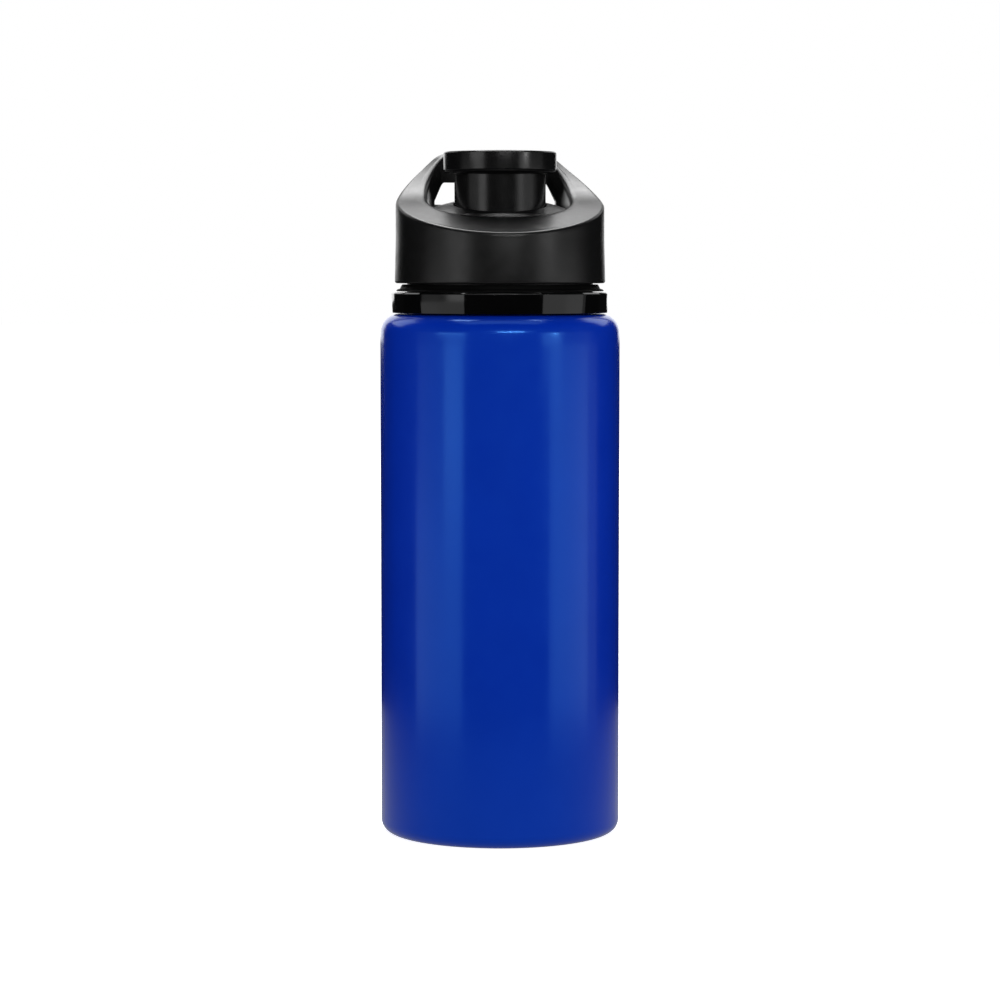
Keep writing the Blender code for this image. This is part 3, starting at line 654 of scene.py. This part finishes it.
def make_inner_cap():
    """The cap with the female thread, a hole for the spout and one for the vent valve."""
    cap_low, cap_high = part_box("lid_inner_cap")
    radius, low, high = cap_high.x, cap_low.z, cap_high.z
    under_plate = high - CAP_PLATE_THICKNESS
    profile = rounded(
        [
            (radius, low, 0.3 * MM),
            (radius, high, 0.6 * MM),
            (CAP_BORE, high, 0.2 * MM),
            (CAP_BORE, under_plate, 0.2 * MM),
            (CAP_ROOT_RADIUS, under_plate, 0.3 * MM),
            (CAP_ROOT_RADIUS, low, 0.5 * MM),
        ]
    )
    cap = turned("inner_cap_fine", profile, PIECE_STEPS)
    ridge = thread_ridge(
        CAP_ROOT_RADIUS,
        CAP_CREST_RADIUS,
        NECK_THREAD_Z + PITCH / 4,
        -math.pi / 2,
        CAP_THREAD_TURNS,
    )
    apply_boolean(cap, ridge, "UNION")
    outline = []
    for i in range(SMALL_STEPS):
        angle = 2 * math.pi * i / SMALL_STEPS
        x = VENT_HOLE_RADIUS * math.cos(angle)
        outline.append((x, VENT_Y + VENT_HOLE_RADIUS * math.sin(angle)))
    rings = [[(x, y, z) for x, y in outline] for z in (under_plate - MM, high + MM)]
    hole = mesh_object("hole", tube_mesh(rings, cyclic=False))
    return apply_boolean(cap, hole, "DIFFERENCE")


def make_spout_base():
    """The fixed spout tube: a flange with a seal groove, a stop bead and an O-ring groove."""
    low, top = (corner.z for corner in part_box("spout_base"))
    tube, bore = TUBE_RADIUS, TUBE_BORE
    flange, flange_top = TUBE_FLANGE_RADIUS, TUBE_FLANGE_TOP_Z
    seal_inner, seal_outer = TUBE_FLANGE_GROOVE
    bead_low, bead_top, bead_end = TUBE_BEAD_Z
    groove_low, groove_top = ORING_GROOVE_Z
    profile = rounded(
        [
            (flange, low, 0.3 * MM),
            (flange, flange_top, 0.2 * MM),
            (seal_outer, flange_top, 0),
            (seal_outer, flange_top - MM, 0.15 * MM),
            (seal_inner, flange_top - MM, 0.15 * MM),
            (seal_inner, flange_top, 0),
            (tube, flange_top, 0.2 * MM),
            (tube, bead_low, 0.05 * MM),
            (TUBE_BEAD_RADIUS, bead_low, 0.1 * MM),
            (TUBE_BEAD_RADIUS, bead_top, 0.1 * MM),
            (tube, bead_end, 0.1 * MM),
            (tube, groove_low, 0.05 * MM),
            (ORING_GROOVE_RADIUS, groove_low, 0.1 * MM),
            (ORING_GROOVE_RADIUS, groove_top, 0.1 * MM),
            (tube, groove_top, 0.05 * MM),
            (tube, top, 0.5 * MM),
            (bore, top, 0.3 * MM),
            (bore, low, 0.3 * MM),
        ]
    )
    return turned("spout_base_fine", profile, PIECE_STEPS)


def core_arm(angle, low, high):
    """One arm of the core, from inside the post to the middle of the ring's wall."""
    along = Vector((math.cos(angle), math.sin(angle), 0))
    across = Vector((-math.sin(angle), math.cos(angle), 0))
    half = CORE_ARM_WIDTH / 2
    outline = rounded(
        [
            (-half, low, 0.2 * MM),
            (half, low, 0.2 * MM),
            (half, high, 0.5 * MM),
            (-half, high, 0.5 * MM),
        ]
    )
    sections = []
    for r in (CORE_POST_RADIUS / 2, (CORE_RING_RADIUS + CORE_RING_BORE) / 2):
        sections.append([along * r + across * side + Vector((0, 0, z)) for side, z in outline])
    return mesh_object("arm", tube_mesh(sections, cyclic=False))


def make_spout_core():
    """A ring, three arms and a post that ends in the plug for the drinking hole."""
    low, ring_top = core_low.z, CORE_RING_TOP_Z
    ring, ring_bore = CORE_RING_RADIUS, CORE_RING_BORE
    corners = [(ring, low), (ring, ring_top), (ring_bore, ring_top), (ring_bore, low)]
    ring_profile = rounded([(r, z, 0.2 * MM) for r, z in corners])
    core = turned("spout_core_fine", ring_profile, PIECE_STEPS)
    post, plug = CORE_POST_RADIUS, PLUG_RADIUS
    post_low, plug_low, plug_top = low + 0.3 * MM, PLUG_LOW_Z, core_high.z
    post_profile = rounded(
        [
            (0, post_low, 0),
            (post, post_low, 0.4 * MM),
            (post, plug_low, 0.5 * MM),
            (plug, plug_low + 0.8 * MM, 0.3 * MM),
            (plug, plug_top - 0.2 * MM, 0.8 * MM),
            (0, plug_top, 0),
        ],
        closed=False,
    )
    apply_boolean(core, turned("post", post_profile, SMALL_STEPS, closed=False), "UNION")
    for i in range(CORE_ARMS):
        angle = math.radians(90) + 2 * math.pi * i / CORE_ARMS
        apply_boolean(core, core_arm(angle, low + 0.6 * MM, ring_top - 0.6 * MM), "UNION")
    core.data.set_sharp_from_angle(angle=math.radians(40))
    return core


def make_vent_valve():
    """An umbrella valve: a flap under the plate, and a stem with a barb over it."""
    low, high = vent_low.z, vent_high.z
    flap_top, barb_low = VENT_PLATE_LOW_Z - VENT_GAP, VENT_PLATE_TOP_Z + VENT_GAP
    flap, stem = VENT_FLAP_RADIUS, VENT_STEM_RADIUS
    profile = rounded(
        [
            (0, low, 0),
            (flap - 0.8 * MM, low + 0.2 * MM, 0.4 * MM),
            (flap, flap_top - 0.2 * MM, 0.15 * MM),
            (flap - 0.2 * MM, flap_top, 0.05 * MM),
            (stem, flap_top, 0.1 * MM),
            (stem, barb_low, 0.05 * MM),
            (VENT_BARB_RADIUS, barb_low, 0.2 * MM),
            (stem, barb_low + 1.9 * MM, 0.5 * MM),
            (0, high, 0),
        ],
        closed=False,
    )
    valve = turned("vent_valve_fine", profile, SMALL_STEPS, closed=False)
    valve.location.y = VENT_Y
    return valve


def make_sleeve():
    """The flanged sleeve. Its disc is slightly domed and dished round the drinking hole."""
    dome_start, dome_end = DISC_RADIUS - DISC_TOP_EDGE, DRINK_RADIUS + DRINK_DISH
    dome_points = []
    for i in range(DOME_ROWS + 1):
        share = i / DOME_ROWS
        r = dome_start + (dome_end - dome_start) * share
        z = DISC_TOP_Z + DISC_DOME * math.sin(math.pi / 2 * share)
        dome_points.append((r, z, 0.3 * MM if i == 0 else 0))
    underside = []
    for i in range(1, UNDERSIDE_ROWS + 1):
        angle = math.pi / 2 * i / UNDERSIDE_ROWS
        r = SLEEVE_RADIUS + (DISC_RADIUS - DISC_EDGE - SLEEVE_RADIUS) * math.sin(angle)
        z = DISC_ROOT_Z + (DISC_LOW_Z - DISC_ROOT_Z) * (1 - math.cos(angle))
        underside.append((r, z, 0))
    profile = rounded(
        [
            (SLEEVE_RADIUS, SLEEVE_LOW_Z, 0.5 * MM),
            (SLEEVE_RADIUS, DISC_ROOT_Z, 0.15 * MM),
        ]
        + underside
        + [
            (DISC_RADIUS, DISC_LOW_Z + DISC_EDGE, 0.2 * MM),
            (DISC_RADIUS, DISC_TOP_Z - DISC_TOP_EDGE, 0.3 * MM),
        ]
        + dome_points
        + [
            (DRINK_RADIUS, DISC_TOP_Z - 0.3 * MM, 0.4 * MM),
            (DRINK_RADIUS, SEAT_TOP_Z, 0.1 * MM),
            (SEAT_RADIUS, SEAT_TOP_Z, 0.1 * MM),
            (SEAT_RADIUS, CHAMBER_TOP_Z, 0.2 * MM),
            (SLEEVE_BORE, CHAMBER_TOP_Z, 0.4 * MM),
            (SLEEVE_BORE, SLEEVE_LOW_Z + SLEEVE_LIP_HEIGHT + 0.4 * MM, 0.1 * MM),
            (SLEEVE_LIP_BORE, SLEEVE_LOW_Z + SLEEVE_LIP_HEIGHT, 0.1 * MM),
            (SLEEVE_LIP_BORE, SLEEVE_LOW_Z, 0.3 * MM),
        ]
    )
    return turned("sleeve_fine", profile, FINE_STEPS, smooth_below=35)


def make_mouth_insert():
    """The soft seat in the sleeve's top, which the plug closes against."""
    low, high = (corner.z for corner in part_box("mouth_insert"))
    profile = rounded(
        [
            (MOUTH_RADIUS, low, 0.2 * MM),
            (MOUTH_RADIUS, high, 0.2 * MM),
            (MOUTH_BORE, high, 0.3 * MM),
            (MOUTH_BORE, low, 0.5 * MM),
        ]
    )
    return turned("mouth_insert_fine", profile, PIECE_STEPS)


# ---- Materials ------------------------------------------------------------------------


def new_material(name, **sockets):
    """A Principled material. Sockets are named with underscores for spaces."""
    material = bpy.data.materials.new(name)
    material.use_nodes = True
    shader = material.node_tree.nodes["Principled BSDF"]
    for key, value in sockets.items():
        shader.inputs[key.replace("_", " ")].default_value = value
    return material, material.node_tree, shader


def noise(tree, scale, detail=3.0, roughness=0.5, stretch=(1, 1, 1)):
    """Noise over the piece's own coordinates, in metres. scale is features per metre."""
    coords = tree.nodes.new("ShaderNodeTexCoord")
    mapping = tree.nodes.new("ShaderNodeMapping")
    mapping.inputs["Scale"].default_value = stretch
    texture = tree.nodes.new("ShaderNodeTexNoise")
    texture.inputs["Scale"].default_value = scale
    texture.inputs["Detail"].default_value = detail
    texture.inputs["Roughness"].default_value = roughness
    tree.links.new(coords.outputs["Object"], mapping.inputs["Vector"])
    tree.links.new(mapping.outputs["Vector"], texture.inputs["Vector"])
    return texture.outputs["Fac"]


def remap(tree, value, low, high, from_low=NOISE_LOW, from_high=NOISE_HIGH):
    """Bring value from the range from_low to from_high into the range low to high."""
    node = tree.nodes.new("ShaderNodeMapRange")
    node.inputs["From Min"].default_value = from_low
    node.inputs["From Max"].default_value = from_high
    node.inputs["To Min"].default_value = low
    node.inputs["To Max"].default_value = high
    tree.links.new(value, node.inputs["Value"])
    return node.outputs["Result"]


def color_between(tree, value, first, second):
    """The first colour at the noise's low end, and the second at its high end."""
    ramp = tree.nodes.new("ShaderNodeValToRGB")
    ramp.color_ramp.elements[0].position = NOISE_LOW
    ramp.color_ramp.elements[0].color = (*first, 1)
    ramp.color_ramp.elements[1].position = NOISE_HIGH
    ramp.color_ramp.elements[1].color = (*second, 1)
    tree.links.new(value, ramp.inputs["Fac"])
    return ramp.outputs["Color"]


def bump(tree, height, distance, strength, under=None):
    """A normal from height, over the normal of a finer bump where there is one."""
    node = tree.nodes.new("ShaderNodeBump")
    node.inputs["Distance"].default_value = distance
    node.inputs["Strength"].default_value = strength
    tree.links.new(height, node.inputs["Height"])
    if under:
        tree.links.new(under, node.inputs["Normal"])
    return node.outputs["Normal"]


def blue_paint():
    """Satin lacquer over the can: faint orange peel and the slightest unevenness of colour."""
    material, tree, shader = new_material(
        "blue_paint_fine",
        IOR=1.5,
        Specular_IOR_Level=1.0,
        Specular_Tint=(0.10, 0.42, 1.0, 1.0),
    )
    cloud = noise(tree, 60, detail=2)
    tree.links.new(
        color_between(tree, cloud, (0.0006, 0.0222, 0.352), (0.0009, 0.0242, 0.370)),
        shader.inputs["Base Color"],
    )
    tree.links.new(remap(tree, noise(tree, 240), 0.16, 0.19), shader.inputs["Roughness"])
    peel = bump(tree, noise(tree, 1500, detail=1), 0.004 * MM, 0.5)
    wave = bump(tree, noise(tree, 140, detail=0, stretch=(1, 1, 0.35)), 0.02 * MM, 0.3, peel)
    tree.links.new(wave, shader.inputs["Normal"])
    return material


def lined_aluminium():
    """The can's inside and its rolled lip: drawn aluminium under a clear food lacquer."""
    material, tree, shader = new_material(
        "lined_aluminium", Metallic=1.0, IOR=1.5, Coat_Weight=0.4, Coat_Roughness=0.15
    )
    streak = noise(tree, 900, detail=4, stretch=(1, 1, 0.03))
    tree.links.new(
        color_between(tree, streak, (0.66, 0.62, 0.52), (0.74, 0.70, 0.60)),
        shader.inputs["Base Color"],
    )
    tree.links.new(remap(tree, streak, 0.26, 0.42), shader.inputs["Roughness"])
    tree.links.new(bump(tree, streak, 0.03 * MM, 0.3), shader.inputs["Normal"])
    return material


def moulded_plastic(name, colors, roughness, grain, **more):
    """Moulded plastic: a fine tool grain, and faint wide variation in colour and gloss.

    colors and roughness are each a low and a high value. grain is features per metre, their
    depth, and the bump's strength.
    """
    material, tree, shader = new_material(name, **more)
    grain_scale, depth, strength = grain
    wide = noise(tree, 90, detail=3)
    tree.links.new(color_between(tree, wide, *colors), shader.inputs["Base Color"])
    gloss_cloud = noise(tree, 320, detail=4)
    tree.links.new(remap(tree, gloss_cloud, *roughness), shader.inputs["Roughness"])
    fine = bump(tree, noise(tree, grain_scale, detail=3, roughness=0.6), depth, strength)
    ripple = bump(tree, noise(tree, 70, detail=1), 0.02 * MM, 0.10, fine)
    tree.links.new(ripple, shader.inputs["Normal"])
    return material


def satin_black():
    """The hood's plastic."""
    return moulded_plastic(
        "satin_black_fine",
        colors=((0.0032, 0.0032, 0.0034), (0.0042, 0.0042, 0.0045)),
        roughness=(0.30, 0.37),
        grain=(2600, 0.004 * MM, 0.25),
        IOR=1.49,
    )


def gloss_black():
    """The collar's polished plastic."""
    return moulded_plastic(
        "gloss_black_fine",
        colors=((0.0012, 0.0012, 0.0013), (0.0018, 0.0018, 0.0019)),
        roughness=(0.08, 0.12),
        grain=(900, 0.002 * MM, 0.10),
        IOR=1.5,
        Specular_IOR_Level=0.42,
    )


def spout_black():
    """The sleeve's plastic, a little glossier than the hood's."""
    return moulded_plastic(
        "spout_black_fine",
        colors=((0.0030, 0.0030, 0.0032), (0.0042, 0.0042, 0.0044)),
        roughness=(0.20, 0.25),
        grain=(1800, 0.002 * MM, 0.20),
        IOR=1.49,
    )


def plain_black():
    """Plain plastic of the pieces inside."""
    return moulded_plastic(
        "plain_black_fine",
        colors=((0.006, 0.006, 0.0062), (0.010, 0.010, 0.0103)),
        roughness=(0.36, 0.46),
        grain=(2200, 0.005 * MM, 0.30),
        IOR=1.49,
    )


def soft_black():
    """Black rubber."""
    return moulded_plastic(
        "soft_black_fine",
        colors=((0.0012, 0.0012, 0.0012), (0.0022, 0.0022, 0.0022)),
        roughness=(0.50, 0.62),
        grain=(3000, 0.006 * MM, 0.40),
        IOR=1.41,
        Specular_IOR_Level=0.15,
    )


def silicone():
    """Milky silicone rubber."""
    return moulded_plastic(
        "silicone_fine",
        colors=((0.56, 0.57, 0.55), (0.66, 0.67, 0.65)),
        roughness=(0.38, 0.50),
        grain=(1500, 0.010 * MM, 0.25),
        IOR=1.41,
        Subsurface_Weight=0.3,
        Subsurface_Radius=(0.002, 0.002, 0.002),
    )


# ---- Studio ---------------------------------------------------------------------------


def disc(name, radius, z, shade, emission, fade):
    """A flat round floor that shines.

    Its emission goes from the first to the second value between the two radii of fade.
    """
    bm = bmesh.new()
    bmesh.ops.create_circle(bm, cap_ends=True, segments=96, radius=radius)
    floor = mesh_object(name, bm)
    floor.location.z = z
    material, tree, shader = new_material(name, Roughness=0.8, Specular_IOR_Level=0.1)
    pale = (shade,) * 3
    paler = (shade * 1.02,) * 3
    tree.links.new(color_between(tree, noise(tree, 3), pale, paler), shader.inputs["Base Color"])
    shader.inputs["Emission Color"].default_value = (1, 1, 1, 1)
    coords = tree.nodes.new("ShaderNodeTexCoord")
    away = tree.nodes.new("ShaderNodeVectorMath")
    away.operation = "LENGTH"
    tree.links.new(coords.outputs["Object"], away.inputs[0])
    glow = remap(tree, away.outputs["Value"], *emission, *fade)
    tree.links.new(glow, shader.inputs["Emission Strength"])
    floor.data.materials.append(material)
    return floor


def studio_floor():
    """What the eye sees is white to the horizon. What the bottle mirrors ends near it."""
    seen = disc("floor_seen", 8.0, 0.0, 0.8, emission=(0.85, 1.0), fade=(0.15, 0.5))
    seen.visible_glossy = False
    seen.visible_diffuse = False
    mirrored = disc(
        "floor_mirrored", 0.3, -0.1 * MM, 0.02, emission=(0.38, 0.2), fade=(0.08, 0.3)
    )
    mirrored.visible_camera = False


def around(azimuth, distance, z):
    """A point at that bearing from the bottle, 0 in front and positive towards +X."""
    angle = math.radians(azimuth)
    return Vector((distance * math.sin(angle), -distance * math.cos(angle), z))


def light_panel(name, location, rotation, size, radiance, **seen):
    """A rectangular light of even radiance. seen switches off the kinds of ray that see it."""
    data = bpy.data.lights.new(name, "AREA")
    data.shape = "RECTANGLE"
    data.size, data.size_y = size
    data.energy = radiance * math.pi * size[0] * size[1]
    light = bpy.data.objects.new(name, data)
    light.location = location
    light.rotation_euler = rotation
    light.visible_camera = False
    for key, value in seen.items():
        setattr(light, "visible_" + key, value)
    bpy.context.collection.objects.link(light)


def softbox(name, azimuths, distance, heights, radiance, **seen):
    """An upright panel between two bearings and two heights, facing the axis."""
    middle = sum(azimuths) / 2
    width = 2 * distance * math.tan(math.radians(azimuths[1] - azimuths[0]) / 2)
    size = (width, heights[1] - heights[0])
    location = around(middle, distance, sum(heights) / 2)
    light_panel(name, location, (math.pi / 2, 0, math.radians(middle)), size, radiance, **seen)


def studio_lights():
    """Panels that the can and lid mirror, diffuse fills, and light from behind and above."""
    softbox("left_low", (-91, -40), PANEL_AWAY, (-0.4, 0.02), 0.85)
    softbox("left_edge", (-58, -39), PANEL_AWAY, (0.02, 0.13), 1.8)
    softbox("left_panel", (-88, -58), PANEL_AWAY, (0.02, 0.13), 0.42)
    softbox("left_lid_edge", (-58, -37), PANEL_AWAY, (0.13, 0.27), 0.95)
    softbox("left_lid_panel", (-88, -58), PANEL_AWAY, (0.13, 0.38), 0.2)
    softbox("left_top", (-66, -37), PANEL_AWAY, (0.27, 0.38), 2.6)
    softbox("right_panel", (44, 88), PANEL_AWAY, (-0.4, 0.13), 0.95)
    softbox("right_edge", (88, 101), PANEL_AWAY, (-0.4, 0.13), 0.3)
    softbox("right_lid_edge", (36, 56), PANEL_AWAY, (0.13, 0.36), 1.5)
    softbox("right_lid_panel", (56, 92), PANEL_AWAY, (0.13, 0.36), 0.22)
    softbox("right_bulb", (47, 53), PANEL_AWAY, (0.29, 0.34), 18.0, diffuse=False)
    softbox("front_strip", (-6, 20), STRIP_AWAY, (0.53, 0.58), 42.0, diffuse=False)
    softbox("front_fill", (-35, 35), FILL_AWAY, (-0.5, 1.3), 1.6, glossy=False)
    softbox("left_fill", (-110, -35), FILL_AWAY, (-0.5, 1.3), 1.1, glossy=False)
    softbox("right_fill", (35, 110), FILL_AWAY, (-0.5, 1.3), 1.6, glossy=False)
    softbox("back_left", (-150, -122), BACK_AWAY, (0.7, 1.5), 1.3)
    softbox("back_right", (122, 150), BACK_AWAY, (0.7, 1.5), 1.3)
    softbox("backdrop", (155, 205), BACK_AWAY, (0.12, 0.4), 1.5)
    softbox("backdrop_mid", (156, 204), BACK_AWAY, (0.4, 0.8), 1.3)
    softbox("backdrop_high", (156, 204), BACK_AWAY, (0.8, 1.2), 0.5)
    light_panel("overhead", (0, 0.75, 1.4), (0, 0, 0), (0.9, 1.2), 7.5)
    light_panel("overhead_front", (0, -0.25, 1.4), (0, 0, 0), (1.2, 0.5), 0.8)


def studio_world():
    """White to the eye, and nearly dark to the bottle, which the panels light."""
    world = bpy.data.worlds.new("studio")
    bpy.context.scene.world = world
    world.use_nodes = True
    tree = world.node_tree
    background = tree.nodes["Background"]
    rays = tree.nodes.new("ShaderNodeLightPath")
    strength = remap(tree, rays.outputs["Is Camera Ray"], 0.01, 1.0, 0.0, 1.0)
    background.inputs["Color"].default_value = (1, 1, 1, 1)
    tree.links.new(strength, background.inputs["Strength"])


def studio_camera():
    """A long lens in front, a little to the left of the middle and above the lid's skirt."""
    data = bpy.data.cameras.new("camera")
    data.lens = LENS
    camera = bpy.data.objects.new("camera", data)
    camera.location = (
        -CAMERA_DISTANCE * math.sin(CAMERA_SIDE),
        -CAMERA_DISTANCE * math.cos(CAMERA_SIDE),
        CAMERA_Z,
    )
    towards = Vector((0, 0, AIM_Z)) - camera.location
    camera.rotation_euler = towards.to_track_quat("-Z", "Y").to_euler()
    bpy.context.collection.objects.link(camera)
    bpy.context.scene.camera = camera


# ---- Assembly -------------------------------------------------------------------------


def dress(piece, body, node, slot, *materials):
    """Put a fine piece in place of its CAD node."""
    for material in materials:
        piece.data.materials.append(material)
    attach(piece, body)
    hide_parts(node)


studio_camera()

paint = blue_paint()
satin = satin_black()
gloss = gloss_black()
spout = spout_black()
plain = plain_black()
soft = soft_black()
clear = silicone()

dress(make_can(), "bottle", "bottle_shell", "blue_paint", paint, lined_aluminium())
dress(make_neck_insert(), "bottle", "neck_insert", "plain_black", plain)
neck_ring = make_plain_ring("neck_seal_fine", "neck_seal", 0.2 * MM)
dress(neck_ring, "bottle", "neck_seal", "silicone", clear)
dress(make_collar(), "bottle", "collar_ring", "gloss_black", gloss)
dress(make_dust_seal(), "bottle", "dust_seal", "soft_black", soft)
lid_ring = make_plain_ring("gasket_fine", "lid_gasket", 0.25 * MM)
dress(lid_ring, "lid_lift_ring", "lid_gasket", "silicone", clear)
dress(make_hood(), "lid", "lid_shell", "satin_black", satin)
dress(make_inner_cap(), "lid", "lid_inner_cap", "plain_black", plain)
dress(make_spout_base(), "lid", "spout_base", "plain_black", plain)
for seal in ("spout_base_seal", "spout_oring"):
    dress(make_bead(seal + "_fine", seal), "lid", seal, "silicone", clear)
dress(make_spout_core(), "lid", "spout_core", "plain_black", plain)
dress(make_vent_valve(), "lid", "vent_valve", "silicone", clear)
dress(make_sleeve(), "sleeve", "spout_sleeve", "spout_black", spout)
dress(make_mouth_insert(), "sleeve", "mouth_insert", "soft_black", soft)

studio_floor()
studio_lights()
studio_world()
bpy.context.scene.view_settings.view_transform = "Standard"
